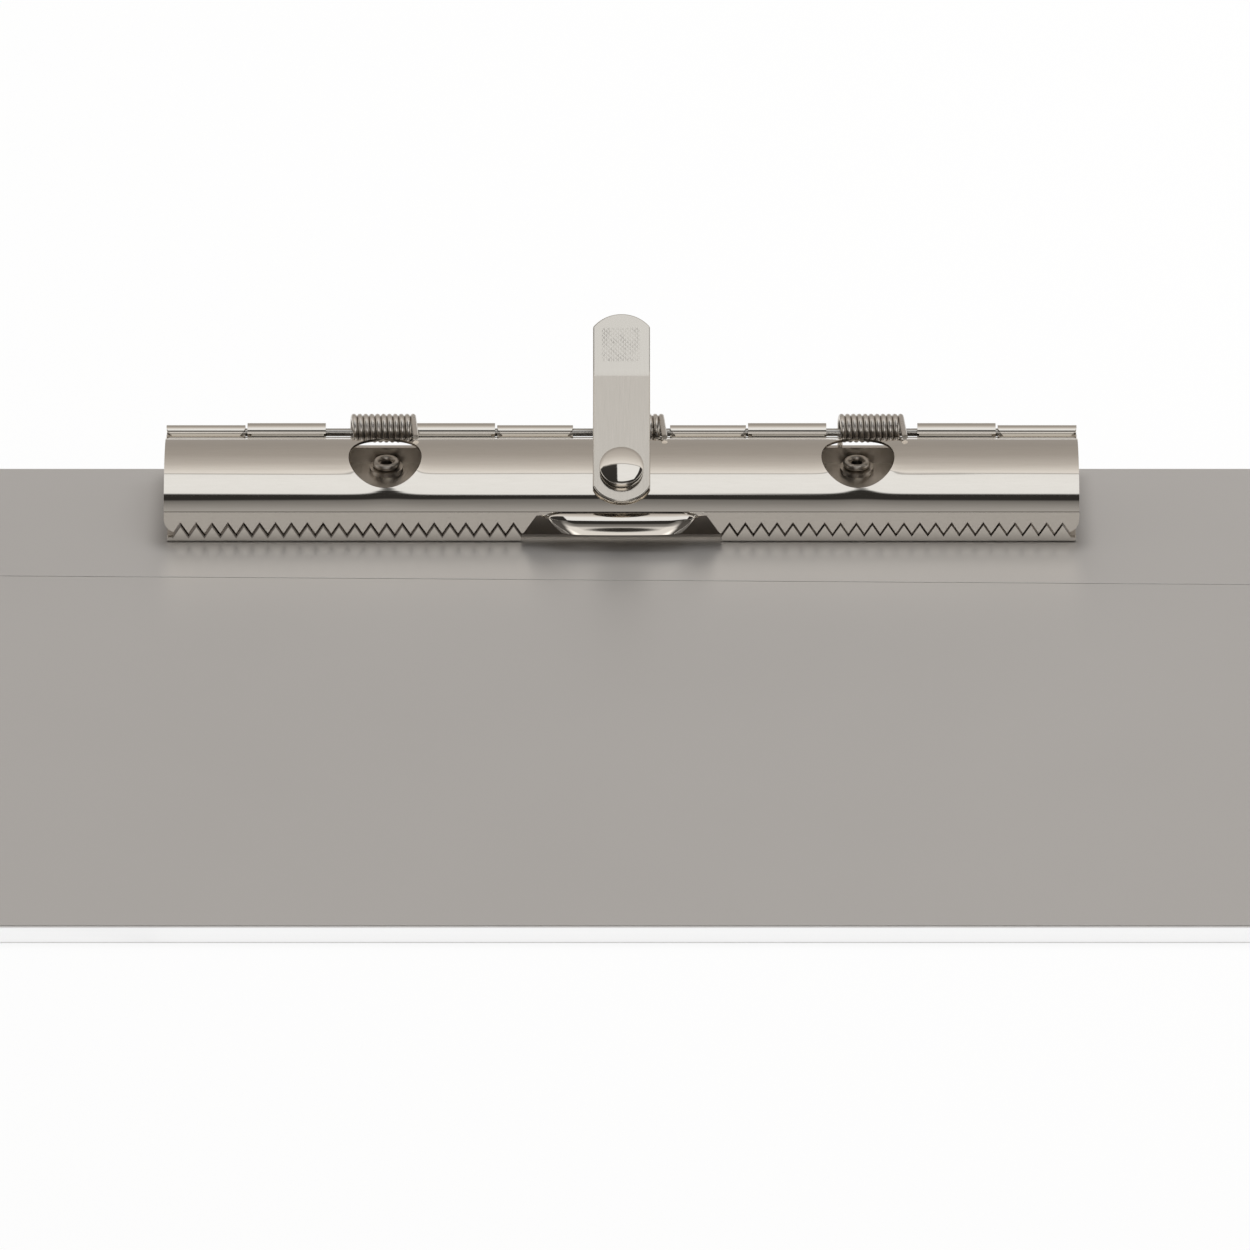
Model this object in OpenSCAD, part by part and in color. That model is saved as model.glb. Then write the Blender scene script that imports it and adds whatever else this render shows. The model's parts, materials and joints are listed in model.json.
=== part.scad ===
// Small landscape clipboard: a clad board with a long sprung clip along its top edge.
// The clip is a toothed base plate, an arched toothed jaw hinged on a wire pin,
// three torsion springs and a swivelling thumb lever.
// The frame has X along the clip, Y towards the clip end of the board and Z up from its back.

/* [Board] */
// Width of the board along the clip
board_w = 220; // [190:1:320]
// Length of the board from the clip end to the user's end
board_l = 146; // [110:1:340]
// Thickness of the stiff core
core_t = 2.4; // [1.8:0.1:4]
// Thickness of the cover sheet and of the facing sheet
sheet_t = 0.3; // [0.2:0.05:0.6]
// Radius of the board's corners
corner_r = 5; // [2:0.5:15]
// Distance of the facing's upper edge from the clip end, on the centre line
seam_d = 37; // [32:0.1:60]
// Angle by which the facing's upper edge runs out of square
seam_tilt = 0.8; // [0:0.01:1.5]
// Gap round the facing where it meets the cover
seam_gap = 0.15; // [0.1:0.05:0.4]

/* [Base plate] */
// Length of the clip along the board
clip_l = 150; // [140:1:186]
// Distance of the clip's rear wall from the clip end of the board
back_d = 3.45; // [3.2:0.05:8]
// Depth of the clip from its rear wall to its teeth
clip_depth = 21.05; // [19:0.05:26]
// Thickness of the base plate
base_t = 0.85; // [0.7:0.05:1.05]
// Inside radius of the base plate's bends
bend_r = 0.2; // [0.1:0.05:0.4]
// Height of the rear wall between the knuckles
wall_h = 6.4; // [4:0.1:6.6]
// Pitch of the teeth
tooth_pitch = 2.6; // [2:0.1:4]
// Height of the teeth
tooth_h = 2.1; // [1.5:0.1:2.4]
// Gap between the two rows of teeth when the clip is shut
tooth_gap = 0.6; // [0.2:0.05:0.7]

/* [Hinge] */
// Diameter of the hinge pin
pin_dia = 1.3; // [1.1:0.1:1.5]
// Height of the pin's axis above the board
pin_h = 9.7; // [9:0.1:11.7]
// Clearance of the knuckles round the pin
pin_fit = 0.05; // [0.02:0.01:0.1]
// Length of each inner jaw knuckle
jaw_knuckle_l = 12.5; // [8:0.1:14]
// Length of each base knuckle
base_knuckle_l = 12.9; // [8:0.1:14]
// Length of the bay that holds the middle spring
centre_bay_l = 16; // [15.5:0.1:20]
// Length of the bay that holds each side spring
side_bay_l = 15; // [14.5:0.1:18]
// Gap between neighbouring knuckles
knuckle_gap = 0.35; // [0.2:0.05:0.8]
// Slant of the jaw knuckles' ends at the front
knuckle_slant = 0.9; // [0.1:0.05:1]

/* [Jaw] */
// Thickness of the jaw's sheet
jaw_t = 0.5; // [0.4:0.05:0.7]
// Outside radius of the jaw's arch
arch_r = 12.5; // [11.5:0.1:15]
// Height of the toothed flange's upper edge above the board
flange_h = 5.65; // [5:0.05:7]
// Diameter of the two holes through which the rivets are set
access_dia = 12; // [8:0.1:13]
// Slope of the arch at the middle of those holes
access_slope = 13; // [10:1:16]
// Half width of the window for the tongue at its top
window_top = 13.5; // [12:0.1:16]
// Half width of the window for the tongue at its bottom
window_low = 16.1; // [15:0.1:20]
// Radius of the tongue's round section
tongue_r = 4.6; // [4.2:0.1:5]
// Distance of that section's middle behind the teeth
tongue_back = 1.8; // [1.4:0.1:2.2]
// Height of that section's middle above the board
tongue_mid_h = 1.3; // [1:0.1:1.6]
// Height of the tongue's lower edge above the board
tongue_low_h = 2.75; // [2:0.05:3.2]
// Half width of the tongue at its shoulders
tongue_top = 12.5; // [11:0.1:13.2]
// Half width of the tongue at its lower edge
tongue_low = 10.1; // [7:0.1:12]

/* [Springs] */
// Diameter of the spring wire
wire_dia = 0.85; // [0.7:0.05:0.9]
// Outside diameter of the coils
coil_dia = 4.7; // [4.4:0.1:5]
// Length of a coil
coil_l = 10; // [9.6:0.1:12]
// Whole turns of a coil
coil_turns = 7; // [4:1:7]
// Distance of a coil from the middle of its bay
coil_shift = 0.9; // [0:0.1:1.5]
// Distance by which the side coils sit nearer to the middle of the clip
coil_slack = 1.05; // [0:0.05:1.1]
// Rise of the coils above the pin's axis
coil_lift = 0.6; // [0.4:0.01:0.65]

/* [Lever] */
// Width of the lever
lever_w = 9.4; // [8:0.1:12]
// Thickness of the lever
lever_t = 1.0; // [0.8:0.05:1.5]
// Slope of the arch where the lever is riveted on
lever_slope = 30; // [26:1:34]
// Length from the rivet to the bend
lever_reach = 17.8; // [12:0.1:24]
// Length of the thumb tip beyond the bend
tip_l = 9.5; // [6.5:0.1:14]
// Angle of the bend
tip_bend = 11; // [5:1:30]
// Length of the foot below the rivet
foot_l = 6.4; // [5.2:0.1:8]
// Radius of the foot's rounded end
foot_r = 5.05; // [5:0.05:6]
// Radius of the rounded end of the tip
tip_r = 6; // [5.2:0.1:10]
// Diameter of the rivet's shank
shank_dia = 3.4; // [2.5:0.1:4]
// Diameter of the rivet's domed head
dome_dia = 7.2; // [6:0.1:9]
// Height of the straight skirt below the dome
dome_skirt = 1.2; // [0.6:0.1:1.6]
// Rise of the dome above its skirt
dome_rise = 0.55; // [0.3:0.05:1.5]
// Thickness of the friction washer below the lever
washer_t = 0.25; // [0.2:0.05:0.5]

/* [Board rivets] */
// Distance of each rivet from the middle of the clip
rivet_x = 38.8; // [36:0.1:41]
// Distance of the rivets from the inside of the rear wall
rivet_d = 2.4; // [2.35:0.05:4]
// Diameter of the rivets' barrels
barrel_dia = 3.4; // [2.6:0.1:3.6]
// Height of the rivets' rolled rims above the board
rivet_h = 5.4; // [4.8:0.1:5.6]
// Diameter of the wire-like roll at the rim
rim_dia = 1.1; // [0.8:0.05:1.2]
// Diameter of the flat head sunk into the back
back_head_dia = 9; // [7:0.1:11]
// Thickness of the flat head
back_head_t = 0.8; // [0.6:0.05:1.2]

// Height of the pressed-up bosses that the rivets go through
press_h = 3.5; // [2.5:0.1:3.6]
// Radius of those bosses' flat tops
press_r = 6.2; // [5:0.1:7]

/* [Hidden] */
$fn = 96;

// Clearances between pieces: fixed fits, moving neighbours, the coils' bays and sunk heads
slip = 0.05;
swing = 0.3;
coil_room = 0.5;
flush = 0.05;

// How far the base, its teeth and the pin each stop short of what lies outside them
end_step = 0.5;

// Heights and places measured from the clip end of the board's face, d forward and h up
board_t = core_t + 2 * sheet_t;
front_d = back_d + clip_depth;
bore_r = pin_dia / 2 + pin_fit;
base_roll_r = bore_r + base_t;
jaw_roll_r = bore_r + jaw_t;
pin_d = back_d + base_roll_r;
base_end = clip_l / 2 - end_step;
pin_l = clip_l - 2 * end_step;
bend_out = base_t + bend_r;
roll_under = 30;

// The arch passes just below the pin's axis and ends at the flange's upper edge
leaf_drop = 0.96;
function circle_meet(p, rp, q, rq) =
    let (gap = norm(q - p))
    let (along = (gap * gap + rp * rp - rq * rq) / (2 * gap))
    let (off = sqrt(rp * rp - along * along))
    let (u = (q - p) / gap)
    p + along * u + off * [u[1], -u[0]];
arch_c = circle_meet([pin_d, pin_h], arch_r + leaf_drop, [front_d, flange_h], arch_r);
arch_front = asin((front_d - arch_c[0]) / arch_r);
arch_back = atan2(arch_c[0] - pin_d, pin_h - arch_c[1]);

// Knuckles and bays along the hinge, from the middle outwards
inner_jaw = [centre_bay_l / 2, centre_bay_l / 2 + jaw_knuckle_l];
inner_base = [inner_jaw[1] + knuckle_gap, inner_jaw[1] + knuckle_gap + base_knuckle_l];
side_bay = [inner_base[1], inner_base[1] + side_bay_l];
outer_base = [side_bay[1], side_bay[1] + base_knuckle_l];
outer_jaw = [outer_base[1] + knuckle_gap, clip_l / 2];

// Teeth on each side of the tongue's window
tooth_start = window_low + swing;
tooth_count = floor((base_end - end_step - tooth_start) / tooth_pitch);
tooth_end = tooth_start + tooth_count * tooth_pitch;
tooth_root = bend_out;
lip_fold_r = 0.35;
window_step = 1;
flange_corner_r = 2.5;
tongue_shoulder_h = 4.6;
tongue_straight = tongue_top - 2.9;
tongue_root = 0.35;

// Springs: the foot stands behind the rear wall and the arm presses on the jaw
wire_r = wire_dia / 2;
coil_r = coil_dia / 2 - wire_r;
coil_d = back_d - swing - wire_r + coil_r;
coil_h = pin_h + coil_lift;
spring_bay_r = norm([coil_d - pin_d, coil_lift]) + coil_dia / 2 + coil_room;
foot_end_h = 2.5;
arm_slope = -8;
arm_stand = wire_r + swing;
arm_side = 1.5;
rings_per_turn = 8;
wire_sides = 6;

// Lever stack on the arch, from the flat boss outwards
boss_r = lever_w / 2 - 0.4;
boss_rise = 0.15;
washer_r = 3.7;
lever_z = boss_rise + washer_t + slip;
dome_z = lever_z + lever_t + slip;
tip_bend_r = 8;
tail_r = 2.5;
tail_t = 0.8;
tail_z = jaw_t + arch_r - jaw_t - sqrt(pow(arch_r - jaw_t, 2) - tail_r * tail_r) + slip;

// Board rivets
rivet_y = -(back_d + base_t + rivet_d);
collar_t = 1;
press_flare = 1;
collar_top = rivet_h - rim_dia - slip;
back_seat_t = back_head_t + flush;
barrel_wall = 0.7;

// Puts its children in the clip's frame, at the middle of the clip end of the board's face
module at_clip() {
    translate([0, board_l / 2, board_t]) children();
}

// Sweeps a section drawn in Y and Z along X
module along_x(x0, x1) {
    translate([x0, 0, 0]) rotate([90, 0, 90]) linear_extrude(x1 - x0) children();
}

// Sweeps an outline drawn in X and Z along Y
module along_y(y0, y1) {
    translate([0, y1, 0]) rotate([90, 0, 0]) linear_extrude(y1 - y0) children();
}

// Makes its children and their mirror images on the other side of the middle
module both_sides() {
    children();
    mirror([1, 0, 0]) children();
}

// A wedge of a turn, from angle a0 to a1, under half a turn wide
module wedge(a0, a1, r) {
    polygon([[0, 0], r * [cos(a0), sin(a0)], 2 * r * [cos((a0 + a1) / 2), sin((a0 + a1) / 2)],
             r * [cos(a1), sin(a1)]]);
}

module ring(r_out, r_in) {
    difference() {
        circle(r_out);
        circle(r_in);
    }
}

// A rod along X round the pin's axis
module round_pin(r, x0, x1) {
    translate([x0, -pin_d, pin_h]) rotate([0, 90, 0]) cylinder(r = r, h = x1 - x0);
}

// Puts its children on the arch where it slopes by the given angle, Z outwards
module on_arch(slope) {
    translate([0, -arch_c[0] - arch_r * sin(slope), arch_c[1] + arch_r * cos(slope)])
        rotate([slope, 0, 0]) children();
}

// The board's outline, drawn in by inset
module board_outline(inset) {
    w = board_w / 2 - inset;
    l = board_l / 2 - inset;
    r = corner_r - inset;
    translate([-w + r, -l]) square([2 * (w - r), 2 * l]);
    translate([-w, -l + r]) square([2 * w, 2 * (l - r)]);
    for (x = [-w + r, w - r], y = [-l + r, l - r])
        translate([x, y]) circle(r);
}

// The facing's outline below the seam, drawn in by gap
module facing_outline(gap) {
    reach = board_w + board_l;
    intersection() {
        board_outline(sheet_t + gap);
        translate([0, board_l / 2 - seam_d]) rotate(-seam_tilt)
            translate([-reach, -2 * reach - gap]) square([2 * reach, 2 * reach]);
    }
}

// Holes through the board for the rivets, with the seats of their flat heads
module rivet_holes() {
    for (x = [-rivet_x, rivet_x]) translate([x, board_l / 2 + rivet_y, -1]) {
        cylinder(d = barrel_dia + 2 * slip, h = board_t + 2);
        cylinder(d = back_head_dia + 2 * swing, h = back_seat_t + 1);
    }
}

module board_core() {
    color("tan") difference() {
        translate([0, 0, sheet_t]) linear_extrude(core_t) board_outline(sheet_t);
        rivet_holes();
    }
}

module cover_sheet() {
    color("darkgray") difference() {
        linear_extrude(board_t) board_outline(0);
        translate([0, 0, sheet_t]) linear_extrude(core_t) board_outline(sheet_t);
        translate([0, 0, sheet_t + core_t]) linear_extrude(1) facing_outline(0);
        rivet_holes();
    }
}

module facing_sheet() {
    color("darkgray") translate([0, 0, sheet_t + core_t]) linear_extrude(sheet_t)
        facing_outline(seam_gap);
}

// The base's floor and rear wall, bent from one sheet, with the wall up to height top
module base_section(top) {
    translate([-front_d, 0]) square([clip_depth - bend_out, base_t]);
    translate([-back_d - base_t, bend_out]) square([base_t, top - bend_out]);
    translate([-back_d - bend_out, bend_out]) intersection() {
        ring(bend_out, bend_r);
        translate([0, -bend_out]) square(bend_out);
    }
}

// The base's knuckle: the wall runs up behind the pin and rolls over it to below its front
module base_knuckle_section() {
    translate([-back_d - base_t, bend_out]) square([base_t, pin_h - bend_out]);
    translate([-pin_d, pin_h]) difference() {
        ring(base_roll_r, bore_r);
        wedge(roll_under - 180, -80, 2 * base_roll_r);
        wedge(-85, 0, 2 * base_roll_r);
    }
}

// One row of teeth standing on a strip, from its foot to the tips, raised by lift
function tooth_line(lift) = [for (i = [0 : 2 * tooth_count])
    [tooth_start + i * tooth_pitch / 2, tooth_root + lift + (i % 2) * tooth_h]];

module base_lip() {
    along_y(-front_d, -front_d + base_t)
        polygon(concat([[tooth_end, bend_out - 0.5], [tooth_start, bend_out - 0.5]], tooth_line(0)));
}

// The lip's bend, cut away in front of its outside radius
module lip_bend_cut() {
    translate([-front_d, 0]) difference() {
        translate([-1, -1]) square(lip_fold_r + 1);
        translate([lip_fold_r, lip_fold_r]) circle(lip_fold_r);
    }
}

// A boss pressed up from the floor round a rivet, drawn in by inset and kept clear of the wall
module rivet_boss(inset) {
    intersection() {
        translate([rivet_x, rivet_y, base_t / 2 - inset])
            cylinder(r1 = press_r + press_flare - inset, r2 = press_r - inset, h = press_h - base_t / 2);
        along_x(0, clip_l) translate([-front_d, -1])
            square([clip_depth - base_t / 2 - inset, press_h + 1]);
    }
}

module base_plate() {
    color("silver") at_clip() difference() {
        union() {
            along_x(-base_end, base_end) base_section(wall_h);
            both_sides() {
                along_x(inner_base[0], inner_base[1]) base_knuckle_section();
                along_x(outer_base[0], outer_base[1]) base_knuckle_section();
                base_lip();
                rivet_boss(0);
                translate([rivet_x, rivet_y, press_h - base_t / 2])
                    cylinder(d = barrel_dia + 2 * slip + 2 * collar_t, h = collar_top - press_h + base_t / 2);
            }
        }
        both_sides() {
            along_x(tooth_start, base_end + 1) lip_bend_cut();
            rivet_boss(base_t);
            translate([rivet_x, rivet_y, -1]) cylinder(d = barrel_dia + 2 * slip, h = rivet_h + 2);
        }
        translate([-tooth_start, -front_d - 1, -1]) cube([2 * tooth_start, window_step + 1, base_t + 2]);
    }
}

// A tubular rivet: flat head in the back, barrel through the board, rolled rim on the base's collar
module board_rivet(side) {
    barrel_r = barrel_dia / 2;
    rim_r = rim_dia / 2;
    top = board_t + rivet_h;
    color("gainsboro") translate([side * rivet_x, board_l / 2 + rivet_y, 0]) rotate_extrude() {
        translate([0, flush]) square([back_head_dia / 2, back_head_t]);
        translate([barrel_r - barrel_wall, flush]) square([barrel_wall, top - rim_r - flush]);
        translate([barrel_r, top - rim_r]) circle(rim_r);
    }
}

module rivet_left() board_rivet(-1);
module rivet_right() board_rivet(1);

module hinge_pin() {
    chamfer = 0.25;
    r = pin_dia / 2;
    color("gray") at_clip() translate([0, -pin_d, pin_h]) rotate([0, 90, 0]) rotate_extrude()
        polygon([[0, -pin_l / 2], [r - chamfer, -pin_l / 2], [r, -pin_l / 2 + chamfer],
                 [r, pin_l / 2 - chamfer], [r - chamfer, pin_l / 2], [0, pin_l / 2]]);
}

// The wire of a spring whose coil starts at x0: up behind the wall, round the pin, over the jaw
arm_tip = [arch_c[0] + arch_r * sin(arm_slope), arch_c[1] + arch_r * cos(arm_slope)]
          + arm_stand * [sin(arm_slope), cos(arm_slope)];
arm_span = arm_tip - [coil_d, coil_h];
arm_angle = atan2(arm_span[1], arm_span[0]) + acos(coil_r / norm(arm_span));
coil_turn = 180 - arm_angle + 360 * coil_turns;
coil_rings = ceil(coil_turn / 360 * rings_per_turn);
function coil_point(x0, t) =
    let (a = 180 - t * coil_turn)
    [x0 + t * coil_l, -coil_d - coil_r * cos(a), coil_h + coil_r * sin(a)];
function spring_path(x0) = concat(
    [[x0, -coil_d + coil_r, foot_end_h], [x0, -coil_d + coil_r, foot_end_h + wire_dia]],
    [for (i = [0 : coil_rings]) coil_point(x0, i / coil_rings)],
    let (last = coil_point(x0, 1), tip = [x0 + coil_l + arm_side, -arm_tip[0], arm_tip[1]])
        [tip + wire_dia * (last - tip) / norm(last - tip), tip]);

// The least gap between the turns of a wire, measured from point to point
function wire_gap(path) = min([for (i = [0 : len(path) - 5]) for (j = [i + 4 : len(path) - 1])
    norm(path[i] - path[j])]) - wire_dia;

function unit(v) = v / norm(v);
function heading(path, i) = unit(path[min(i + 1, len(path) - 1)] - path[max(i - 1, 0)]);
function wire_ring(path, i) =
    let (t = heading(path, i))
    let (side = unit([1, 0, 0] - t[0] * t))
    let (up = cross(t, side))
    [for (k = [0 : wire_sides - 1])
        path[i] + wire_r * (cos(k * 360 / wire_sides) * side + sin(k * 360 / wire_sides) * up)];

// A closed tube of triangles along the path
module wire_tube(path) {
    n = wire_sides;
    last = len(path) - 1;
    points = [for (i = [0 : last]) each wire_ring(path, i)];
    walls = [for (i = [0 : last - 1]) for (k = [0 : n - 1])
        let (a = i * n + k, b = i * n + (k + 1) % n)
        each [[a, a + n, b], [b, a + n, b + n]]];
    ends = [for (k = [1 : n - 2]) each [[0, k, k + 1], [last * n, last * n + k + 1, last * n + k]]];
    polyhedron(points, concat(walls, ends));
}

module torsion_spring(bay_middle) {
    path = spring_path(bay_middle - coil_l / 2 + coil_shift);
    echo(least_gap_of_spring_wire = wire_gap(path));
    color("dimgray") at_clip() wire_tube(path);
}

side_bay_middle = (side_bay[0] + side_bay[1]) / 2;
module spring_left() torsion_spring(-side_bay_middle + coil_slack);
module spring_centre() torsion_spring(0);
module spring_right() torsion_spring(side_bay_middle - coil_slack);

// The arched sheet from the pin to the flange's upper edge
module arch_section() {
    translate([-arch_c[0], arch_c[1]]) intersection() {
        ring(arch_r, arch_r - jaw_t);
        wedge(90 - arch_back, 90 + arch_front, 2 * arch_r);
    }
}

// The jaw's knuckle, rolled over the pin and round below it to just short of the sheet
module jaw_knuckle_section() {
    sheet_end = 270 - arch_back;
    translate([-pin_d, pin_h]) difference() {
        circle(jaw_roll_r);
        wedge(sheet_end + 5, sheet_end + 25, 2 * jaw_roll_r);
    }
}

// One half of the toothed flange, from the tongue's window to the rounded end
module flange_half() {
    low = tooth_root + tooth_gap;
    end = clip_l / 2;
    difference() {
        polygon(concat([[end, low], [end, flange_h], [window_top, flange_h], [window_low, low]],
                       tooth_line(tooth_gap)));
        translate([end - flange_corner_r, low]) difference() {
            square(flange_corner_r + 1);
            translate([-1, flange_corner_r]) square(flange_corner_r + 2);
            translate([0, flange_corner_r]) circle(flange_corner_r);
        }
    }
}

// The tongue's outline, seen from the front
module tongue_outline() {
    polygon([[-tongue_low, tongue_low_h], [tongue_low, tongue_low_h], [tongue_top, tongue_shoulder_h],
             [tongue_top, arch_r], [-tongue_top, arch_r], [-tongue_top, tongue_shoulder_h]]);
}

// A round bar along X with half-ball ends, from which the tongue is cut
module bead(r) {
    translate([0, -front_d + tongue_back, tongue_mid_h]) rotate([0, 90, 0]) rotate_extrude()
        intersection() {
            translate([0, -2 * tongue_top]) square([2 * tongue_top, 4 * tongue_top]);
            union() {
                translate([0, -tongue_straight]) square([r, 2 * tongue_straight]);
                for (end = [-tongue_straight, tongue_straight]) translate([0, end]) circle(r);
            }
        }
}

// The tongue: a hood bulged forward from the arch's edge, with its root inside the arched sheet
module tongue() {
    intersection() {
        difference() {
            bead(tongue_r);
            bead(tongue_r - jaw_t);
        }
        along_y(-front_d - tongue_r, -front_d + tongue_root) tongue_outline();
    }
}

// The flat boss on the arch below the lever, rooted in the middle of the sheet
module lever_boss() {
    difference() {
        on_arch(lever_slope) translate([0, 0, -3]) cylinder(r = boss_r, h = 3 + boss_rise);
        translate([-lever_w, -arch_c[0], arch_c[1]]) rotate([0, 90, 0])
            cylinder(r = arch_r - jaw_t / 2, h = 2 * lever_w);
    }
}

// Wedges that slant the front ends of a jaw knuckle from x0 to x1, fading out near its top
module knuckle_slants(x0, x1) {
    rise = 0.9 * jaw_roll_r;
    over = jaw_roll_r + 1;
    lean = knuckle_slant * (over / rise - 1);
    translate([0, 0, pin_h]) along_y(-pin_d - 2 * jaw_roll_r, -pin_d - pin_fit) {
        polygon([[x0 - 1, 0], [x0 + knuckle_slant, 0], [x0 - lean, over], [x0 - 1, over]]);
        polygon([[x1 + 1, 0], [x1 - knuckle_slant, 0], [x1 + lean, over], [x1 + 1, over]]);
    }
}

// Room in the arch's rear edge for the base's knuckles and the springs, and the knuckles' bore
module hinge_cuts() {
    round_pin(bore_r, -clip_l / 2 - 1, clip_l / 2 + 1);
    round_pin(spring_bay_r, -inner_jaw[0], inner_jaw[0]);
    both_sides() {
        round_pin(base_roll_r + swing, inner_jaw[1], outer_jaw[0]);
        round_pin(spring_bay_r, side_bay[0] - swing, side_bay[1] + swing);
    }
}

module jaw_plate() {
    color("silver") at_clip() difference() {
        union() {
            along_x(-clip_l / 2, clip_l / 2) arch_section();
            both_sides() {
                along_x(inner_jaw[0], inner_jaw[1]) jaw_knuckle_section();
                along_x(outer_jaw[0], outer_jaw[1]) jaw_knuckle_section();
                along_y(-front_d, -front_d + jaw_t) flange_half();
            }
            tongue();
            lever_boss();
        }
        hinge_cuts();
        both_sides() {
            knuckle_slants(inner_jaw[0], inner_jaw[1]);
            knuckle_slants(outer_jaw[0], outer_jaw[1]);
            on_arch(access_slope) translate([rivet_x, 0, -4]) cylinder(d = access_dia, h = 8);
        }
        on_arch(lever_slope) translate([0, 0, -4]) cylinder(d = shank_dia + 2 * slip, h = 8);
    }
}

module lever_washer() {
    color("gray") at_clip() on_arch(lever_slope) translate([0, 0, boss_rise]) difference() {
        cylinder(r = washer_r, h = washer_t);
        translate([0, 0, -1]) cylinder(d = shank_dia + 2 * slip, h = washer_t + 2);
    }
}

// The lever's section along its length: a strip bent up at its thumb tip
bend_steps = 6;
function bend_point(r, i) =
    let (a = tip_bend * i / bend_steps)
    [lever_reach + r * sin(a), lever_t + tip_bend_r - r * cos(a)];
tip_run = tip_l * [cos(tip_bend), sin(tip_bend)];
module lever_section() {
    under = [for (i = [0 : bend_steps]) bend_point(tip_bend_r + lever_t, i)];
    over = [for (i = [bend_steps : -1 : 0]) bend_point(tip_bend_r, i)];
    polygon(concat([[-foot_l, 0]], under, [under[bend_steps] + tip_run, over[0] + tip_run], over,
                   [[-foot_l, lever_t]]));
}

// What is cut off a strip's end to round it with radius r about the origin
module end_cut(r) {
    difference() {
        translate([-lever_w, 0, -lever_w]) cube([2 * lever_w, 2 * r, 2 * lever_w]);
        translate([0, 0, -2 * lever_w]) cylinder(r = r, h = 4 * lever_w);
    }
}

// The lever: a flat strip with a rounded foot round its rivet and a rounded thumb tip
module lever() {
    color("lightgray") at_clip() on_arch(lever_slope) translate([0, 0, lever_z]) difference() {
        along_x(-lever_w / 2, lever_w / 2) lever_section();
        translate([0, foot_r - foot_l, 0]) rotate(180) end_cut(foot_r);
        translate([0, bend_point(tip_bend_r, bend_steps)[0], bend_point(tip_bend_r, bend_steps)[1]])
            rotate([tip_bend, 0, 0]) translate([0, tip_l - tip_r, 0]) end_cut(tip_r);
        translate([0, 0, -1]) cylinder(d = shank_dia + 2 * slip, h = lever_t + 2);
    }
}

// The lever's rivet: domed head, shank through lever and jaw, flat tail inside the arch
module lever_rivet() {
    ball_r = (pow(dome_dia / 2, 2) + dome_rise * dome_rise) / (2 * dome_rise);
    color("silver") at_clip() on_arch(lever_slope) rotate_extrude() {
        translate([0, -tail_z - tail_t]) square([tail_r, tail_t]);
        translate([0, -tail_z - tail_t]) square([shank_dia / 2, tail_z + tail_t + dome_z + dome_skirt]);
        translate([0, dome_z]) square([dome_dia / 2, dome_skirt]);
        translate([0, dome_z + dome_skirt]) intersection() {
            translate([0, dome_rise - ball_r]) circle(ball_r);
            square([dome_dia, dome_rise]);
        }
    }
}

board_core();
cover_sheet();
facing_sheet();
base_plate();
rivet_left();
rivet_right();
hinge_pin();
spring_left();
spring_centre();
spring_right();
jaw_plate();
lever_washer();
lever();
lever_rivet();
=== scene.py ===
import json
import math

import bpy
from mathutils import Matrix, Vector


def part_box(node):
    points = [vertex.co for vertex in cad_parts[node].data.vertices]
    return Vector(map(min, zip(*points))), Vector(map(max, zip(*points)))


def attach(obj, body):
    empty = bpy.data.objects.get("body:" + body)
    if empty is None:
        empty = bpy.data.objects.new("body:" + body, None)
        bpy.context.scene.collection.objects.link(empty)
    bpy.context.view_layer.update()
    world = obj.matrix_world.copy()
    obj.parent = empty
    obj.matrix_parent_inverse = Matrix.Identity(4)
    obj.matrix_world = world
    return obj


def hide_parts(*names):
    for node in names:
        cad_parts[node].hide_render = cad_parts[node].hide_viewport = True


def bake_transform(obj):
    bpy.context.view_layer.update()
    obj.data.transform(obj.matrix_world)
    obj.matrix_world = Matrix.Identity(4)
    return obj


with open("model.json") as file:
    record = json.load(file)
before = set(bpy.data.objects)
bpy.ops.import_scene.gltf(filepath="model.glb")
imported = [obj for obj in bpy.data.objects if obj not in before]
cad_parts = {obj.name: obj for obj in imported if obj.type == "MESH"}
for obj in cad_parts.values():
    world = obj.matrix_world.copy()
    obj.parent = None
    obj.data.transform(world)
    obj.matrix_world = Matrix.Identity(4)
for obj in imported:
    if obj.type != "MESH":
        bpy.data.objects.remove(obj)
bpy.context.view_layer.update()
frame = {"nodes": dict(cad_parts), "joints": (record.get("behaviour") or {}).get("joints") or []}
nodes = frame["nodes"]

# Board core: a sheet of stiff grey-brown board that keeps the clipboard flat. It is cut with round
# corners, drilled for the clip's two rivets and wrapped all over, so that only its holes ever show.
FIBRE_LIGHT = (0.47, 0.41, 0.33, 1)
FIBRE_DARK = (0.34, 0.29, 0.22, 1)
FIBRE_DEPTH = 0.00004


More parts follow.
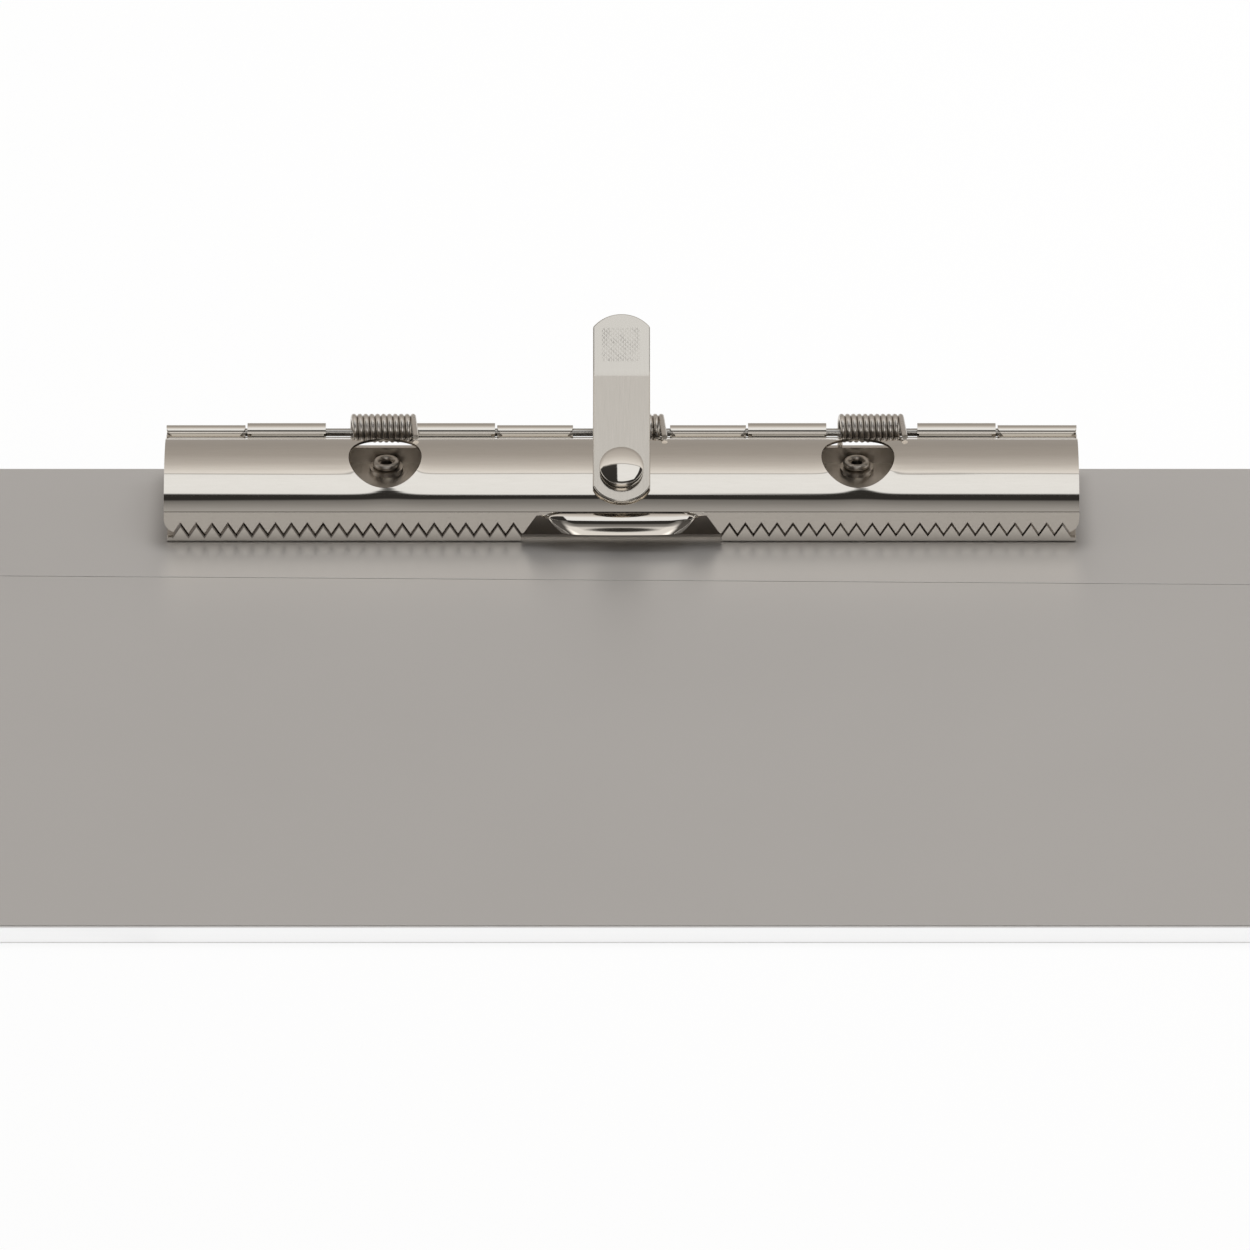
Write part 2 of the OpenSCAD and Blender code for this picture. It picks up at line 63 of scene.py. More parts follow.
class Shade:
    """A socket in a finish's nodes. Sums on it add Math nodes, and add() adds any other node."""

    def __init__(self, tree, socket):
        self.tree = tree
        self.socket = socket

    def add(self, kind, settings, inputs, output=0):
        """A node of that kind, with its settings made first and its sockets then set or linked."""
        node = self.tree.nodes.new(kind)
        for name, value in settings.items():
            if name == "stops":
                ramp = node.color_ramp.elements
                while len(ramp) < len(value):
                    ramp.new(1)
                for stop, (place, colour) in zip(ramp, value):
                    stop.position = place
                    stop.color = colour
            else:
                setattr(node, name, value)
        for name, value in inputs.items():
            if isinstance(value, Shade):
                self.tree.links.new(value.socket, node.inputs[name])
            else:
                node.inputs[name].default_value = value
        return Shade(self.tree, node.outputs[output])

    def sum(self, operation, *values):
        """What a Math node makes of these values."""
        return self.add("ShaderNodeMath", {"operation": operation}, dict(enumerate(values)))

    def __add__(self, other):
        return self.sum("ADD", self, other)

    def __radd__(self, other):
        return self.sum("ADD", other, self)

    def __sub__(self, other):
        return self.sum("SUBTRACT", self, other)

    def __rsub__(self, other):
        return self.sum("SUBTRACT", other, self)

    def __mul__(self, other):
        return self.sum("MULTIPLY", self, other)

    def __rmul__(self, other):
        return self.sum("MULTIPLY", other, self)

    def __truediv__(self, other):
        return self.sum("DIVIDE", self, other)

    def __abs__(self):
        return self.sum("ABSOLUTE", self)

    def part(self, letter):
        """The X, Y or Z part of a vector."""
        return self.add("ShaderNodeSeparateXYZ", {}, {0: self}, letter)

    def grain(self, scale, detail=2.0, rough=0.5):
        """Soft noise from 0 to 1, with scale grains to the metre."""
        return self.add("ShaderNodeTexNoise", {}, {"Vector": self, "Scale": scale, "Detail": detail,
                                                   "Roughness": rough}, "Fac")

    def stretched(self, along):
        """The same place with each axis multiplied, to draw a grain out."""
        return self.add("ShaderNodeVectorMath", {"operation": "MULTIPLY"}, {0: self, 1: along})

    def tint(self, dark, light):
        """A colour between two, by this value."""
        return self.add("ShaderNodeMix", {"data_type": "RGBA"}, {0: self, 6: dark, 7: light}, 2)

    def rise(self, low, high):
        """0 up to low, 1 from high on, and eased between them."""
        return self.add("ShaderNodeMapRange", {"interpolation_type": "SMOOTHSTEP"},
                        {"Value": self, "From Min": low, "From Max": high})

    def bump(self, depth):
        """The surface's slope for a height from 0 to 1 that is this deep in metres."""
        return self.add("ShaderNodeBump", {}, {"Height": self, "Distance": depth})


class Finish:
    """A material with one glossy coat of paint or metal, and the place on the piece to draw from."""

    def __init__(self, name, **plain):
        self.material = bpy.data.materials.new(name)
        self.material.use_nodes = True
        self.tree = self.material.node_tree
        self.coat = self.tree.nodes["Principled BSDF"]
        place = self.tree.nodes.new("ShaderNodeTexCoord")
        self.place = Shade(self.tree, place.outputs["Object"])
        for socket, value in plain.items():
            self.set(socket.replace("_", " ").title(), value)

    def set(self, name, value):
        """Sets one of the coat's sockets, or links a shade to it."""
        if isinstance(value, Shade):
            self.tree.links.new(value.socket, self.coat.inputs[name])
        else:
            self.coat.inputs[name].default_value = value

    def dress(self, piece):
        """Puts this finish alone on a piece."""
        piece.data.materials.clear()
        piece.data.materials.append(self.material)


greyboard = Finish("greyboard", roughness=0.9)
fibres = greyboard.place.stretched((1, 0.35, 1)).grain(1800, 4)
greyboard.set("Base Color", fibres.tint(FIBRE_DARK, FIBRE_LIGHT))
greyboard.set("Normal", fibres.bump(FIBRE_DEPTH))
greyboard.dress(nodes["board_core"])

# Cover and facing: satin aluminium sheet. The cover is folded round the back, the edges and the strip
# under the clip, and the facing is laid on the front with its upper edge a little out of square.
SHEET_LIGHT = (0.69, 0.68, 0.67, 1)
SHEET_DARK = (0.65, 0.64, 0.63, 1)
SHEET_EDGE_PAINTED_LIGHT = (0.97, 0.97, 0.97, 1)
SHEET_PAINTED_SHADE = (0.2, 0.19, 0.18, 1)
SHEET_BREAK = 0.00004
PORE_DEPTH = 0.000004
BOARD_THICK = 0.003
PAINTED_SHADE_SHARE = 0.5
SHADE_AHEAD = 0.0041
SHADE_BEHIND = 0.003
SHADE_ASIDE = 0.004
MERGE_WITHIN = 0.000002
FLAT_ANGLE = math.radians(0.5)
CUT_ANGLE = math.radians(38)
SMOOTH_ANGLE = math.radians(50)
base_low, base_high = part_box("base_plate")

satin_sheet = Finish("satin_sheet")
cloudy = satin_sheet.place.grain(22, 2)
pores = satin_sheet.place.grain(5200, 2)
aside = abs(satin_sheet.place.part("X"))
forth = satin_sheet.place.part("Y")
height = satin_sheet.place.part("Z")
# Painted light: the board's edge faces are painted near white and made fully metallic, so they read as lit
# as white as the floor.
painted_light_edge = height.rise(0.0001, 0.0003) * height.rise(BOARD_THICK - 0.0001, BOARD_THICK - 0.0003)
# Painted shadow: the sheet is darkened in a soft band round the clip's base plate, in front of its lip and
# at its ends, standing in for the clip's contact shadow.
painted_clip_shade = forth.rise(base_low.y - SHADE_AHEAD, base_low.y + 0.0003)
painted_clip_shade = painted_clip_shade * forth.rise(base_high.y + SHADE_BEHIND, base_high.y)
painted_clip_shade = painted_clip_shade * aside.rise(base_high.x + SHADE_ASIDE, base_high.x - 0.001)
flat_tone = (0.75 * cloudy + 0.25 * pores).tint(SHEET_DARK, SHEET_LIGHT)
flat_tone = (PAINTED_SHADE_SHARE * painted_clip_shade).tint(flat_tone, SHEET_PAINTED_SHADE)
satin_sheet.set("Base Color", painted_light_edge.tint(flat_tone, SHEET_EDGE_PAINTED_LIGHT))
satin_sheet.set("Metallic", 0.8 + 0.2 * painted_light_edge)
satin_sheet.set("Roughness", 0.34 + 0.05 * pores)
satin_sheet.set("Normal", pores.bump(PORE_DEPTH))


def worked_copy(node, name):
    """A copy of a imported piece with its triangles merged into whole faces, ready to be worked on."""
    bpy.ops.object.select_all(action="DESELECT")
    piece = bpy.data.objects.new(name, nodes[node].data.copy())
    bpy.context.scene.collection.objects.link(piece)
    bpy.context.view_layer.objects.active = piece
    piece.select_set(True)
    bpy.ops.mesh.customdata_custom_splitnormals_clear()
    bpy.ops.object.mode_set(mode="EDIT")
    bpy.ops.mesh.select_all(action="SELECT")
    bpy.ops.mesh.remove_doubles(threshold=MERGE_WITHIN)
    bpy.ops.mesh.dissolve_limited(angle_limit=FLAT_ANGLE)
    bpy.ops.mesh.select_all(action="DESELECT")
    bpy.ops.object.mode_set(mode="OBJECT")
    return piece


def soften_edges(piece, width):
    """Breaks a sheet piece's cut edges, which come off the press slightly rounded."""
    bevel = piece.modifiers.new("broken_edges", "BEVEL")
    bevel.width = width
    bevel.segments = 2
    bevel.limit_method = "ANGLE"
    bevel.angle_limit = CUT_ANGLE
    bpy.ops.object.modifier_apply(modifier=bevel.name)
    bpy.ops.object.shade_smooth_by_angle(angle=SMOOTH_ANGLE)
    weights = piece.modifiers.new("even_light", "WEIGHTED_NORMAL")
    weights.keep_sharp = True
    bpy.ops.object.modifier_apply(modifier=weights.name)


for node in ("cover_sheet", "facing_sheet"):
    sheet = worked_copy(node, node + "_wrapped")
    soften_edges(sheet, SHEET_BREAK)
    satin_sheet.dress(sheet)
    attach(sheet, "base")
    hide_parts(node)

# Base plate: steel sheet punched and bent up, with a toothed front lip and knuckles rolled over the pin.
# It is polished and nickel plated, and lies flat on the board under its two rivets. Its inside is left
# duller, and painted shade darkens it behind the jaw's tongue and along the teeth, the tooth line widest to
# the left.
NICKEL = (0.66, 0.62, 0.565, 1)
NICKEL_WORN = (0.62, 0.58, 0.525, 1)
NICKEL_DULL = (0.60, 0.55, 0.49, 1)
NICKEL_PAINTED_SHADE = (0.20, 0.18, 0.16, 1)
TOOTH_START = 0.0164
TOOTH_PITCH = 0.0026
TOOTH_COUNT = 22
TOOTH_ROW = TOOTH_COUNT * TOOTH_PITCH
TOOTH_ROOT = 0.00105
TOOTH_HEIGHT = 0.0021
RIM_NARROW = 0.00008
RIM_WIDENING = 0.0005
BASE_BREAK = 0.00008
DULL_ROUGHNESS = 0.3
TONGUE_PAINTED_SHADE = 0.9


class Plating(Finish):
    """Polished nickel over sheet that isn't quite even, and that may swell further in places."""

    def __init__(self, name):
        super().__init__(name, metallic=1.0)
        rubbing = self.place.stretched((0.12, 1, 1)).grain(2600, 3)
        self.bright = rubbing.tint(NICKEL_WORN, NICKEL)
        self.polish = 0.03 + 0.03 * rubbing
        self.unevenness = 0.00001 * self.place.stretched((0.4, 1, 1)).grain(60, 1)
        self.set("Base Color", self.bright)
        self.set("Roughness", self.polish)
        self.swell(0.0)

    def dull(self, share, painted_darkness):
        """Leaves part of the piece unpolished, where the wheel can't reach, and darkens part of it with
        painted shade.
        """
        self.set("Base Color", painted_darkness.tint(share.tint(self.bright, NICKEL_DULL), NICKEL_PAINTED_SHADE))
        self.set("Roughness", self.polish + DULL_ROUGHNESS * share)

    def swell(self, height):
        """Adds a height in metres to the sheet's unevenness."""
        self.set("Normal", (self.unevenness + height).bump(1.0))


nickel = Plating("polished_nickel")
inside_nickel = Plating("inside_nickel")
aside = inside_nickel.place.part("X")
forth = inside_nickel.place.part("Y")
height = inside_nickel.place.part("Z")
deep = forth.rise(base_low.y + 0.0007, base_low.y + 0.0009)
before_wall = forth.rise(base_high.y - 0.0004, base_high.y - 0.0008)
below_pin = height.rise(base_high.z - 0.0034, base_high.z - 0.004)
above_board = height.rise(base_low.z, base_low.z + 0.0002)
# Painted shade: the base is darkened under the jaw behind the tongue, so the tongue's side windows read as a
# dark hollow.
painted_shade_behind_tongue = abs(aside).rise(0.022, 0.0145)
painted_shade_behind_tongue = painted_shade_behind_tongue * forth.rise(base_low.y + 0.013, base_low.y + 0.003)
painted_shade_behind_tongue = painted_shade_behind_tongue * height.rise(base_low.z + 0.0003, base_low.z + 0.0005)
# Painted shade: a dark line along the base's teeth, where the jaw's teeth meet them, wider towards the left
# end.
past_window = abs(aside) - TOOTH_START
saw = abs(past_window.sum("FRACT", past_window / TOOTH_PITCH) - 0.5)
below_edge = base_low.z + TOOTH_ROOT + TOOTH_HEIGHT * (1 - 2 * saw) - height
rim_width = RIM_NARROW + RIM_WIDENING * aside.rise(base_high.x, base_low.x)
painted_tooth_shade = below_edge.rise(rim_width, 0.4 * rim_width)
painted_tooth_shade = painted_tooth_shade * forth.rise(base_low.y + 0.0012, base_low.y + 0.001)
painted_tooth_shade = painted_tooth_shade * past_window.rise(-0.0001, 0)
painted_tooth_shade = painted_tooth_shade * past_window.rise(TOOTH_ROW + 0.0001, TOOTH_ROW)
inside_nickel.dull(deep * before_wall * below_pin * above_board,
                   deep.sum("MAXIMUM", TONGUE_PAINTED_SHADE * deep * painted_shade_behind_tongue, painted_tooth_shade))

base = worked_copy("base_plate", "base_plate_plated")
soften_edges(base, BASE_BREAK)
inside_nickel.dress(base)
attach(base, "base")
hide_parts("base_plate")

# Board rivets: tubular rivets of plated steel, set from the front through the jaw's holes, with their
# rims rolled over the base's collars and their flat heads sunk into the back.
for node in ("rivet_left", "rivet_right"):
    inside_nickel.dress(nodes[node])

# Hinge pin: a straight length of drawn bright wire, pushed through all the knuckles and springs.
# Drawing leaves fine lines along it.
WIRE_BRIGHT = (0.52, 0.50, 0.47, 1)
WIRE_DULL = (0.40, 0.38, 0.35, 1)

drawn_wire = Finish("drawn_wire", metallic=1.0)
die_lines = drawn_wire.place.stretched((0.02, 1, 1)).grain(9000, 2)
drawn_wire.set("Base Color", die_lines.tint(WIRE_DULL, WIRE_BRIGHT))
drawn_wire.set("Roughness", 0.2 + 0.15 * die_lines)
drawn_wire.dress(nodes["hinge_pin"])

# Springs: three close-wound torsion springs of hard-drawn wire round the pin. One leg stands behind the
# base's rear wall and the other presses on the jaw, so the coil winds up as the jaw opens.
SPRING_WIRE = 0.00095
SPRING_TURNS = 10
PACKED_WIRE = 0.00085
COIL_RADIUS = 0.001925
COIL_LENGTH = 0.010
COIL_OFFSET = Vector((0, 0.00035, 0.0006))
CENTRE_SHIFT = 0.0007
LEG_LOW = 0.0055
ARM_SIDE = 0.0005
ARM_REACH = 0.006
ARM_GAP = 0.00003
ABOVE_ALL = 0.05
SPRING_LIGHT = (0.74, 0.70, 0.65, 1)
SPRING_DARK = (0.56, 0.52, 0.47, 1)
RINGS_PER_TURN = 32

spring_steel = Finish("spring_steel", metallic=1.0)
scale_marks = spring_steel.place.grain(3200, 3)
spring_steel.set("Base Color", scale_marks.tint(SPRING_DARK, SPRING_LIGHT))
spring_steel.set("Roughness", 0.24 + 0.1 * scale_marks)

hinge = Vector(next(j["pos_m"] for j in frame["joints"] if j["name"] == "jaw_hinge"))
coil_axis = hinge + COIL_OFFSET


def spring_route(start, arm_tip):
    """The middle of a spring's wire: up the rear leg, round the pin and out over the jaw."""
    reach = Vector((arm_tip.y - coil_axis.y, arm_tip.z - coil_axis.z))
    arm_turn = math.atan2(reach.y, -reach.x) + math.acos(COIL_RADIUS / reach.length)
    whole_turn = math.pi - arm_turn + 2 * math.pi * SPRING_TURNS
    steps = math.ceil(whole_turn / (2 * math.pi) * RINGS_PER_TURN)
    route = [Vector((start, coil_axis.y + COIL_RADIUS, LEG_LOW))]
    for step in range(steps + 1):
        turn = math.pi - whole_turn * step / steps
        route.append(Vector((start + COIL_LENGTH * step / steps,
                             coil_axis.y - COIL_RADIUS * math.cos(turn),
                             coil_axis.z + COIL_RADIUS * math.sin(turn))))
    return route + [arm_tip]


for node in ("spring_left", "spring_centre", "spring_right"):
    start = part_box(node)[0].x + PACKED_WIRE / 2 + (CENTRE_SHIFT if node == "spring_centre" else 0)
    above_jaw = Vector((start + COIL_LENGTH + ARM_SIDE, hinge.y - ARM_REACH, ABOVE_ALL))
    _, touch, outward, _ = nodes["jaw_plate"].ray_cast(above_jaw, Vector((0, 0, -1)))
    route = spring_route(start, touch + (SPRING_WIRE / 2 + ARM_GAP) * outward)
    wire = bpy.data.curves.new(node + "_wire", "CURVE")
    wire.dimensions = "3D"
    wire.bevel_depth = SPRING_WIRE / 2
    wire.bevel_resolution = 4
    wire.use_fill_caps = True
    line = wire.splines.new("POLY")
    line.points.add(len(route) - 1)
    for point, spot in zip(line.points, route):
        point.co = (*spot, 1)
    spring = bpy.data.objects.new(node + "_coil", wire)
    bpy.context.scene.collection.objects.link(spring)
    bpy.ops.object.select_all(action="DESELECT")
    bpy.context.view_layer.objects.active = spring
    spring.select_set(True)
    bpy.ops.object.convert(target="MESH")
    bpy.ops.object.shade_smooth_by_angle(angle=SMOOTH_ANGLE)
    spring_steel.dress(spring)
    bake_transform(spring)
    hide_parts(node)

# Jaw plate: thinner steel sheet, arched, punched with two round holes and a tongue window, and rolled
# over the pin at its rear. Its teeth mesh with the base's, and it is polished and plated like the base. The
# sheet swells a little round the holes and is creased along the flange, with painted shade darkening the
# crease, and its underside is left dull and painted darker as shade.
HOLE_RADIUS = 0.006
HOLE_MIDDLE = Vector((0.0388, 0.05675, 0.01356))
HOLE_AXIS = Vector((0, -0.225, 0.9744))
HOLE_SWELL = 0.000115
SWELL_FADE = 0.0009
LEFT_LOSS = 0.6
CREASE_HEIGHT = 0.00565
CREASE_PAINTED_SHADE = (0.26, 0.24, 0.21, 1)
CREASE_SHADE_SHARE = 0.8
UNDERSIDE_PAINTED_SHADE = (0.36, 0.33, 0.30, 1)
ARCH_MIDDLE = 0.01225
JAW_BREAK = 0.00006

arched_nickel = Plating("arched_nickel")
aside = arched_nickel.place.part("X")
forth = arched_nickel.place.part("Y")
height = arched_nickel.place.part("Z")
across = abs(aside) - HOLE_MIDDLE.x
along = HOLE_AXIS.z * (forth - HOLE_MIDDLE.y) - HOLE_AXIS.y * (height - HOLE_MIDDLE.z)
from_hole = across.sum("SQRT", across * across + along * along)
swell = from_hole.sum("EXPONENT", (HOLE_RADIUS - from_hole) / SWELL_FADE)
rightward = aside - HOLE_MIDDLE.x * aside.sum("SIGN", aside)
swell = swell * (1 - LEFT_LOSS * rightward.rise(HOLE_RADIUS, -HOLE_RADIUS))
arched_nickel.swell(HOLE_SWELL * swell)
# Painted shade: a thin dark line along the crease at the top of the flange.
painted_crease_shade = abs(height - base_low.z - CREASE_HEIGHT).rise(0.00014, 0.00006)
painted_crease_shade = painted_crease_shade * forth.rise(base_low.y + 0.0012, base_low.y + 0.0006)
arch_axis = HOLE_MIDDLE - ARCH_MIDDLE * HOLE_AXIS
inward = forth - arch_axis.y
upward = height - arch_axis.z
from_axis = inward.sum("SQRT", inward * inward + upward * upward)
# The arch's underside is made rougher for its dull finish and painted dark as shade.
dull_shaded_underside = from_axis.rise(ARCH_MIDDLE + 0.00005, ARCH_MIDDLE - 0.00005)
dull_shaded_underside = dull_shaded_underside * forth.rise(base_low.y + 0.0006, base_low.y + 0.0009)
shaded_crease_colour = (CREASE_SHADE_SHARE * painted_crease_shade).tint(arched_nickel.bright, CREASE_PAINTED_SHADE)
arched_nickel.set("Base Color", dull_shaded_underside.tint(shaded_crease_colour, UNDERSIDE_PAINTED_SHADE))
arched_nickel.set("Roughness", arched_nickel.polish + DULL_ROUGHNESS * dull_shaded_underside)
jaw = worked_copy("jaw_plate", "jaw_plate_plated")
soften_edges(jaw, JAW_BREAK)

# The tongue is the middle of the jaw's front edge, drawn forward into a hood with a tight shoulder, a
# slope, a slight bend and an almost flat face, and slanted round ends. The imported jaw's bead is taken off.
JAW_SHEET = 0.0005
BEAD_FRONT = 0.0003
TONGUE_BENDS = ((0.00216, 90, 43.5), (0.0066, 43.5, 35), (0.0025, 35, 31), (0.018, 31, 27))
BEND_STEPS = 10
TONGUE_COLUMNS = 96
TONGUE_ROOT = -0.0001
TONGUE_LOW = 0.0099
TONGUE_SLANT = 1.516
WINDOW_TOP = 0.0047
WINDOW_HALF = 0.0142
END_ROUND = 0.0045
END_DROP = 0.0016
END_FULLNESS = 0.97
FACE_BULGE = 0.26
LIP_HEIGHT = 0.0028
LIP_FRONT = 0.0027

section = [Vector((LIP_FRONT, LIP_HEIGHT))]
for radius, upper, lower in reversed(TONGUE_BENDS):
    start = section[-1]
    for step in range(1, BEND_STEPS + 1):
        turn = math.radians(lower + (upper - lower) * step / BEND_STEPS)
        section.append(start + radius * Vector((math.cos(turn) - math.cos(math.radians(lower)),
                                                math.sin(turn) - math.sin(math.radians(lower)))))


def forward_at(high):
    """How far the tongue stands before the jaw's flange at a height above the board."""
    for below, above in zip(section, section[1:]):
        if high <= above.y:
            share = (high - below.y) / (above.y - below.y)
            return max(below.x + (above.x - below.x) * share, TONGUE_ROOT)
    return TONGUE_ROOT


for corner in jaw.data.vertices:
    corner.select = corner.co.y < base_low.y - BEAD_FRONT
bpy.ops.object.mode_set(mode="EDIT")
bpy.ops.mesh.delete(type="VERT")
bpy.ops.object.mode_set(mode="OBJECT")
bpy.ops.mesh.primitive_grid_add(x_subdivisions=TONGUE_COLUMNS, y_subdivisions=len(section) - 1, size=2)
tongue = bpy.context.object
for corner in tongue.data.vertices:
    high = section[round((corner.co.y + 1) / 2 * (len(section) - 1))].y
    slanted = TONGUE_LOW + TONGUE_SLANT * (high - LIP_HEIGHT)
    aside = corner.co.x * (slanted if high < WINDOW_TOP else WINDOW_HALF)
    end = min(max(abs(aside) - slanted + END_ROUND, 0) / END_ROUND, 1)
    forward = forward_at(high + END_DROP * (1 - math.sqrt(1 - END_FULLNESS * end * end)))
    corner.co = (aside, base_low.y - forward + aside * aside / (2 * FACE_BULGE), base_low.z + high)
thickness = tongue.modifiers.new("sheet", "SOLIDIFY")
thickness.thickness = JAW_SHEET
thickness.offset = -1
bpy.ops.object.modifier_apply(modifier=thickness.name)
bpy.ops.object.shade_smooth_by_angle(angle=SMOOTH_ANGLE)
bpy.ops.object.select_all(action="DESELECT")
tongue.select_set(True)
jaw.select_set(True)
bpy.context.view_layer.objects.active = jaw
bpy.ops.object.join()
arched_nickel.dress(jaw)
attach(jaw, "jaw")
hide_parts("jaw_plate")

# Lever: a strip of satin-plated steel with a rounded foot and thumb tip, the tip bent up and knurled.
# It turns on a domed rivet through the jaw, with a friction washer below it.
SATIN = (0.565, 0.53, 0.48, 1)
SATIN_DULL = (0.525, 0.49, 0.44, 1)
TIP_SLOPE = math.radians(41)
KNURL_PITCH = 0.00078
KNURL_DEPTH = 0.000018
KNURL_MIDDLE = 0.07214
KNURL_HALF = Vector((0.0033, 0.0032))
KNURL_FADE = 0.0004
FOOT_TRIM = 0.07
LEVER_BREAK = 0.0002

satin = Finish("satin_nickel", metallic=1.0)
brushing = satin.place.stretched((1, 0.05, 0.05)).grain(5200, 3)
satin.set("Base Color", brushing.tint(SATIN_DULL, SATIN))
satin.set("Roughness", 0.11 + 0.05 * brushing)
across = satin.place.part("X")
along = math.cos(TIP_SLOPE) * satin.place.part("Y") + math.sin(TIP_SLOPE) * satin.place.part("Z")
along = along - KNURL_MIDDLE
cuts = [abs(way.sum("FRACT", way / KNURL_PITCH) - 0.5) for way in (across + along, across - along)]
patch = abs(across).rise(KNURL_HALF.x, KNURL_HALF.x - KNURL_FADE)
patch = patch * abs(along).rise(KNURL_HALF.y, KNURL_HALF.y - KNURL_FADE)
patch = patch * (0.7 + 0.3 * satin.place.grain(700, 1).rise(0.35, 0.6))
satin.set("Normal", (2 * patch * cuts[0].sum("MINIMUM", *cuts)).bump(KNURL_DEPTH))

drawn_wire.dress(nodes["lever_washer"])
lever = worked_copy("lever", "lever_knurled")
swivel = next(j for j in frame["joints"] if j["name"] == "lever_swivel")
swivel_middle = Vector(swivel["pos_m"])
foot_way = Vector((1, 0, 0)).cross(Vector(swivel["axis"])).normalized()
if foot_way.y > 0:
    foot_way.negate()
for corner in lever.data.vertices:
    corner.co -= FOOT_TRIM * max((corner.co - swivel_middle).dot(foot_way), 0) * foot_way
soften_edges(lever, LEVER_BREAK)
satin.dress(lever)
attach(lever, "lever")
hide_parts("lever")

# Lever rivet: a turned steel rivet with a shallow domed head, set through lever, washer and jaw and peened
# flat below. It is polished and plated like the jaw.
RIVET_BREAK = 0.00012

rivet = worked_copy("lever_rivet", "lever_rivet_plated")
soften_edges(rivet, RIVET_BREAK)
nickel.dress(rivet)
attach(rivet, "jaw")
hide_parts("lever_rivet")

# Studio: a white floor, a long soft light overhead with a dark edge in front of it, grey walls beyond, and
# the camera looking down at the clip from the front.
FLOOR_SIZE = 6
FLOOR_WHITE = (0.9, 0.9, 0.9, 1)
FLOOR_GLOW = 0.9
PLAIN_WHITE = (1, 1, 1, 1)

bpy.ops.mesh.primitive_plane_add(size=FLOOR_SIZE)
floor = bpy.context.object
floor.name = "floor"
white = Finish("white_floor", base_color=FLOOR_WHITE, roughness=0.9)
path = white.tree.nodes.new("ShaderNodeLightPath")
seen = Shade(white.tree, path.outputs["Is Camera Ray"])
mirrored = Shade(white.tree, path.outputs["Is Glossy Ray"])
glow = seen.add("ShaderNodeEmission", {}, {"Color": PLAIN_WHITE, "Strength": 1.0})
laid = Shade(white.tree, white.coat.outputs["BSDF"])
showing = FLOOR_GLOW * seen.sum("MAXIMUM", seen, mirrored)
mixed = seen.add("ShaderNodeMixShader", {}, {0: showing, 1: laid, 2: glow})
white.tree.links.new(mixed.socket, white.tree.nodes["Material Output"].inputs["Surface"])
white.dress(floor)

world = bpy.data.worlds.new("studio")
bpy.context.scene.world = world
world.use_nodes = True
sky = world.node_tree
direction = Shade(sky, sky.nodes.new("ShaderNodeTexCoord").outputs["Generated"])
turn = direction.sum("ARCTAN2", direction.part("Z"), 0 - direction.part("Y")) / math.pi


def wall(degrees, level, warmth=0.0):
    """A stop of the studio's light: degrees up from the front horizon over the top, and its brightness."""
    return degrees / 180, (level, level * (1 - 0.5 * warmth), level * (1 - warmth), 1)


CAMERA_RISE = math.radians(30)
LENS_SPREAD = math.radians(2.2)
LENS_BLACK = (0.03, 0.028, 0.025, 1)
SIDE_WALL = (0.7, 0.69, 0.67, 1)
LIGHT = 1.3
FRONT = [wall(0, 1.5, 0.03), wall(14, 1.5, 0.03), wall(20, 0.85, 0.03), wall(30, 0.85, 0.03),
         wall(34.6, 0.47, 0.03), wall(40.4, 0.25, 0.05), wall(45.6, 0.18, 0.05), wall(48.2, 0.03, 0.1)]
BOX = [wall(56.8, 0.03, 0.1), wall(58.4, 0.90, -0.05), wall(75, 0.92, -0.05), wall(90, 0.90, -0.04),
       wall(91, 0.35)]
REAR = [wall(92.5, 0.86, 0.04), wall(98, 0.74, 0.06), wall(108, 0.56, 0.09), wall(118, 0.47, 0.1),
        wall(129, 0.40, 0.12), wall(156, 0.345, 0.12), wall(180, 0.345, 0.12)]
GLOOM = [wall(0, 0.10, 0.1), wall(34.4, 0.08, 0.1), wall(49.2, 0.03, 0.1), wall(89.5, 0.04, 0.1),
         wall(91, 0.30, 0.1)]
sideways = direction.part("X")
lit_box = turn.add("ShaderNodeValToRGB", {"stops": FRONT + BOX + REAR}, {"Fac": turn})
unlit = turn.add("ShaderNodeValToRGB", {"stops": GLOOM + REAR}, {"Fac": turn})
in_front = turn.rise(56 / 180, 50 / 180)
in_box = sideways.rise(-0.12, -0.09) * sideways.rise(0.45, 0.42)
before_camera = abs(sideways).rise(0.34, 0.2)
lights = (in_front * before_camera + (1 - in_front) * in_box).tint(unlit, lit_box)
lights = abs(sideways).rise(0.8, 0.92).tint(lights, SIDE_WALL)
toward_camera = Vector((0, -math.cos(CAMERA_RISE), math.sin(CAMERA_RISE)))
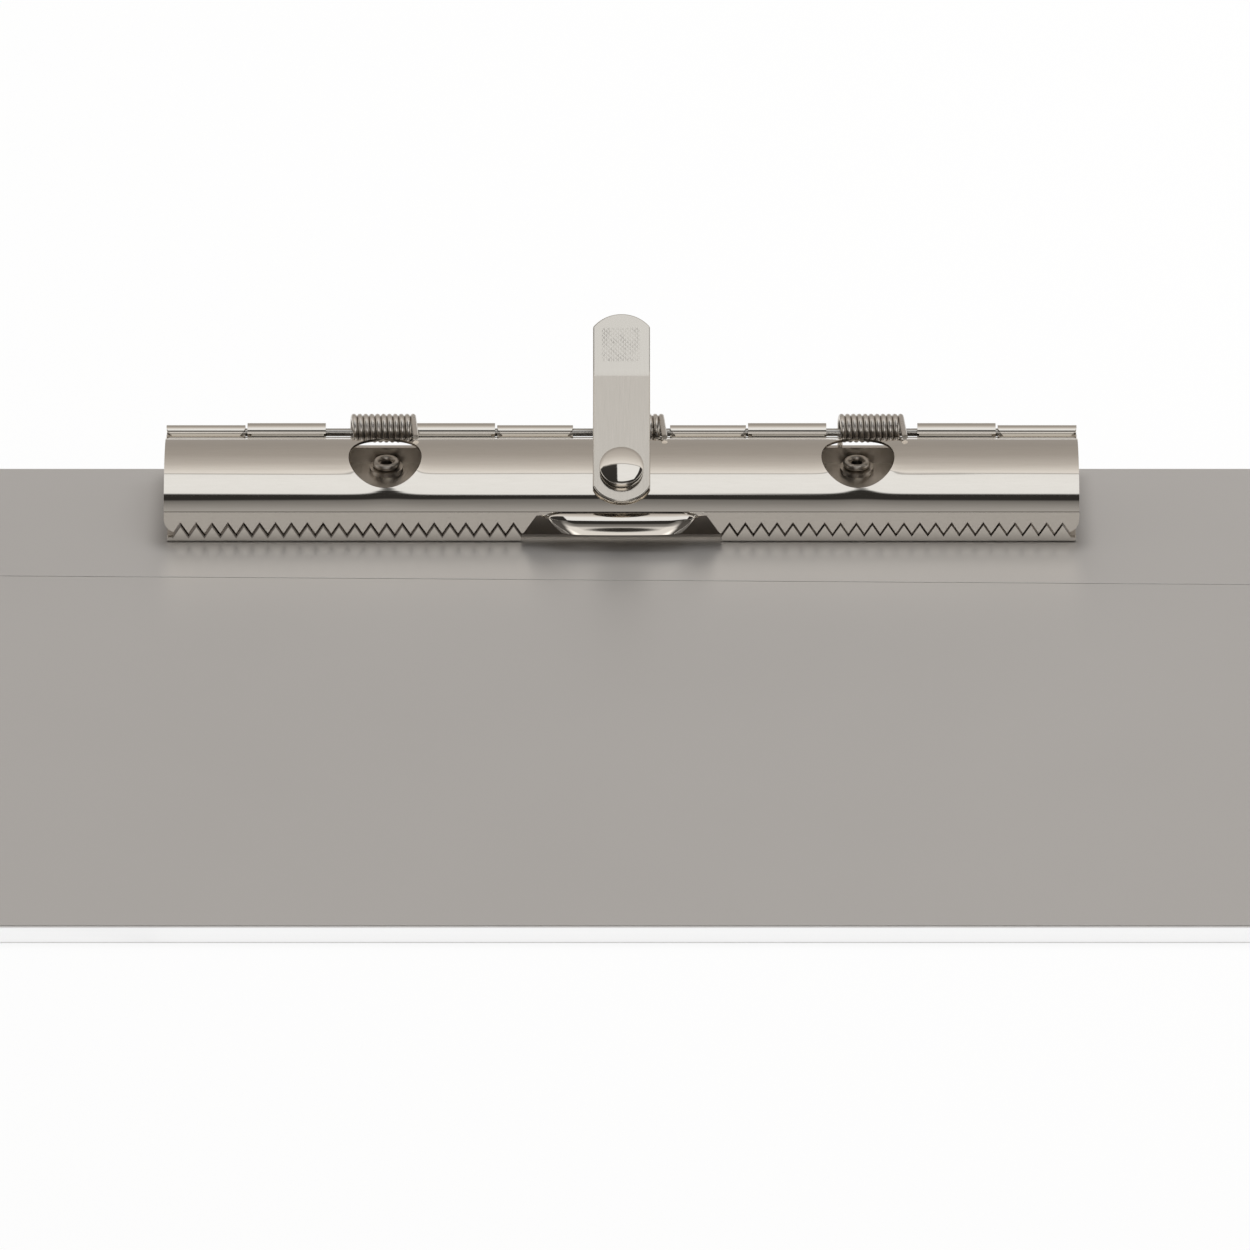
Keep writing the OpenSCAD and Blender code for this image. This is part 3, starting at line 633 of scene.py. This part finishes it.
facing = direction.add("ShaderNodeVectorMath", {"operation": "DOT_PRODUCT"},
                       {0: direction, 1: toward_camera}, "Value")
on_lens = facing.rise(math.cos(LENS_SPREAD + 0.01), math.cos(LENS_SPREAD - 0.01))
lights = on_lens.tint(lights, LENS_BLACK)
sky_path = sky.nodes.new("ShaderNodeLightPath")
sky_seen = Shade(sky, sky_path.outputs["Is Camera Ray"])
lit = sky_seen.add("ShaderNodeBackground", {}, {"Color": lights, "Strength": LIGHT})
plain = sky_seen.add("ShaderNodeBackground", {}, {"Color": PLAIN_WHITE, "Strength": 1.0})
shown = sky_seen.add("ShaderNodeMixShader", {}, {0: sky_seen, 1: lit, 2: plain})
sky.links.new(shown.socket, sky.nodes["World Output"].inputs["Surface"])

LAMP_PLACE = Vector((0.2, 0.3, 0.85))
LAMP_AIM = Vector((0, 0.05, 0))
LAMP_SIZE = (0.8, 0.35)
LAMP_POWER = 5
lamp = bpy.data.lights.new("overhead_lamp", "AREA")
lamp.shape = "RECTANGLE"
lamp.size = LAMP_SIZE[0]
lamp.size_y = LAMP_SIZE[1]
lamp.energy = LAMP_POWER
overhead = bpy.data.objects.new("overhead_lamp", lamp)
bpy.context.scene.collection.objects.link(overhead)
overhead.location = LAMP_PLACE
overhead.rotation_euler = (LAMP_AIM - LAMP_PLACE).to_track_quat("-Z", "Y").to_euler()
overhead.visible_glossy = False
overhead.visible_camera = False

CAMERA_AWAY = 2.19
CAMERA_AIM = Vector((0.00057, 0.02126, 0.003))
FOCAL_LENGTH = 388.7
SENSOR_WIDTH = 36
lens = bpy.data.cameras.new("camera")
lens.lens = FOCAL_LENGTH
lens.sensor_width = SENSOR_WIDTH
camera = bpy.data.objects.new("camera", lens)
bpy.context.scene.collection.objects.link(camera)
camera.location = CAMERA_AIM + CAMERA_AWAY * toward_camera
camera.rotation_euler = (CAMERA_AIM - camera.location).to_track_quat("-Z", "Y").to_euler()
bpy.context.scene.camera = camera
bpy.context.scene.view_settings.view_transform = "Standard"

bpy.context.view_layer.update()
